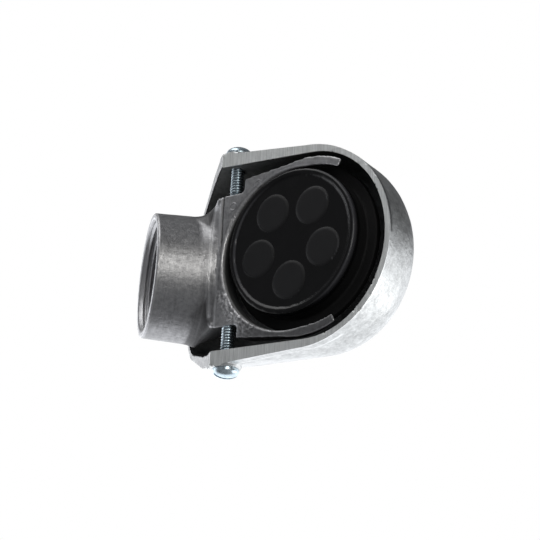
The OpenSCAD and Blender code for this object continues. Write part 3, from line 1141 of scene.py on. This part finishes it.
def aim_camera(stage):
    """Places the camera and makes it the scene's."""
    cam_data = bpy.data.cameras.new("Camera")
    cam = linked("Camera", cam_data)
    cam_data.lens = stage.lens
    cam_data.sensor_width = 36.0
    cam_data.clip_start, cam_data.clip_end = 0.01, 50
    a, e = stage.azimuth, stage.elevation
    back = Vector((math.sin(a) * math.cos(e), -math.cos(a) * math.cos(e), math.sin(e)))
    aim = Vector(stage.aim)
    turn = (-back).to_track_quat("-Z", "Y").to_matrix().to_4x4()
    turn = turn @ Matrix.Rotation(stage.roll, 4, "Z")
    cam.matrix_world = Matrix.Translation(aim + back * stage.distance) @ turn
    bpy.context.scene.camera = cam


def soft_light(name, place, size, power, colour):
    """Rectangular lamp turned to the part."""
    data = bpy.data.lights.new(name, "AREA")
    data.shape = "RECTANGLE"
    data.size, data.size_y = size
    data.energy = power
    data.color = colour
    lamp = linked(name, data)
    lamp.location = place
    lamp.rotation_mode = "QUATERNION"
    lamp.rotation_quaternion = (Vector(LAMP_TARGET) - Vector(place)).to_track_quat("-Z", "Y")


def studio_world():
    """White to look at; as a light it is a dim room with soft glows in it."""
    world = bpy.data.worlds.new("Studio")
    bpy.context.scene.world = world
    n = Nodes(world)
    place = n.new("TexCoord").outputs["Generated"]
    level = ROOM_LEVEL
    for strength, bounds in ROOM_GLOWS:
        glow = strength
        for direction, low, high in bounds:
            dot, spread = n.new("VectorMath"), n.new("MapRange")
            dot.operation = "DOT_PRODUCT"
            dot.inputs[1].default_value = Vector(direction).normalized()
            n.join(place, dot.inputs[0])
            n.join(dot.outputs["Value"], spread.inputs["Value"])
            spread.interpolation_type = "SMOOTHSTEP"
            spread.inputs["From Min"].default_value = low
            spread.inputs["From Max"].default_value = high
            glow = n.math("MULTIPLY", glow, spread.outputs[0])
        level = n.math("ADD", level, glow)
    shown, room = n.new("Background"), n.new("Background")
    shown.inputs[0].default_value = (1, 1, 1, 1)
    room.inputs[0].default_value = (*ROOM_TINT, 1)
    n.join(level, room.inputs[1])
    seen = n.new("LightPath").outputs["Is Camera Ray"]
    n.join(n.mix(seen, room.outputs[0], shown.outputs[0]), n.new("OutputWorld").inputs[0])


def floor_finish(colour):
    """Plain floor, seen from above only and a little bright of itself."""
    material = bpy.data.materials.new("Plain floor")
    n = Nodes(material)
    matt, own = n.new("BsdfDiffuse"), n.new("Emission")
    for node in (matt, own):
        node.inputs[0].default_value = (*colour, 1)
    pale = n.mix(FLOOR_OWN_LIGHT, matt.outputs[0], own.outputs[0])
    seen = n.math("SUBTRACT", n.new("LightPath").outputs["Is Camera Ray"],
                  n.new("NewGeometry").outputs["Backfacing"], clamp=True)
    surface = n.mix(seen, n.new("BsdfTransparent").outputs[0], pale)
    n.join(surface, n.new("OutputMaterial").inputs[0])
    return material


class WEATHERHEAD_OT_stage(bpy.types.Operator):
    """Set the floor, the lights and the camera."""

    bl_idname = "weatherhead.stage"
    bl_label = "Stage"

    def execute(self, context):
        stage = settings().stage
        half = stage.floor_size / 2
        mesh = bpy.data.meshes.new("floor")
        mesh.from_pydata([(-half, -half, 0), (half, -half, 0), (half, half, 0),
                          (-half, half, 0)], [], [(0, 1, 2, 3)])
        floor = linked("floor", mesh)
        floor.location.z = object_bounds()[0].z - FLOOR_GAP
        mesh.materials.append(floor_finish(tuple(stage.floor_colour)))
        floor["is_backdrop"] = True
        studio_world()
        for lamp in LAMPS:
            soft_light(*lamp)
        aim_camera(stage)
        bpy.context.scene.view_settings.view_transform = "Standard"
        return {"FINISHED"}


class WeatherheadSettings(bpy.types.PropertyGroup):
    """All of the weatherhead's settings."""

    casting: PointerProperty(type=CastingSettings, name="Castings",
                             description="Sizes and colours of the castings")
    thread: PointerProperty(type=ThreadSettings, name="Threads",
                            description="Thread pitches and depths")
    insert: PointerProperty(type=InsertSettings, name="Insert",
                            description="Finish of the conductor insert")
    stage: PointerProperty(type=StageSettings, name="Stage",
                           description="Camera, lights and floor")


class WEATHERHEAD_PT_sidebar(bpy.types.Panel):
    """Lists the weatherhead's pieces and settings."""

    bl_idname = "WEATHERHEAD_PT_sidebar"
    bl_label = "Weatherhead"
    bl_space_type = "VIEW_3D"
    bl_region_type = "UI"
    bl_category = "Weatherhead"

    def draw(self, context):
        data = context.scene.weatherhead
        for group, operators in (
            (data.casting, (WEATHERHEAD_OT_hub_casting, WEATHERHEAD_OT_hood_casting)),
            (data.thread, (WEATHERHEAD_OT_hub_thread, WEATHERHEAD_OT_clamp_screws)),
            (data.insert, (WEATHERHEAD_OT_conductor_insert,)),
            (data.stage, (WEATHERHEAD_OT_stage,)),
        ):
            box = self.layout.box()
            for name in group.bl_rna.properties.keys():
                if name not in ("rna_type", "name"):
                    box.prop(group, name)
            for operator in operators:
                box.operator(operator.bl_idname)


CLASSES = (
    CastingSettings, ThreadSettings, InsertSettings, StageSettings, WeatherheadSettings,
    WEATHERHEAD_OT_hub_casting, WEATHERHEAD_OT_hub_thread, WEATHERHEAD_OT_hood_casting,
    WEATHERHEAD_OT_conductor_insert, WEATHERHEAD_OT_clamp_screws, WEATHERHEAD_OT_stage,
    WEATHERHEAD_PT_sidebar,
)


def register():
    """Adds the add-on's classes and settings."""
    for cls in CLASSES:
        bpy.utils.register_class(cls)
    bpy.types.Scene.weatherhead = PointerProperty(type=WeatherheadSettings)


def unregister():
    """Takes them out again."""
    del bpy.types.Scene.weatherhead
    for cls in reversed(CLASSES):
        bpy.utils.unregister_class(cls)


def main():
    """Builds every piece and the stage."""
    register()
    ops = bpy.ops.weatherhead
    ops.hub_casting()
    ops.hub_thread()
    ops.hood_casting()
    ops.conductor_insert()
    ops.clamp_screws()
    ops.stage()


if __name__ == "__main__":
    main()
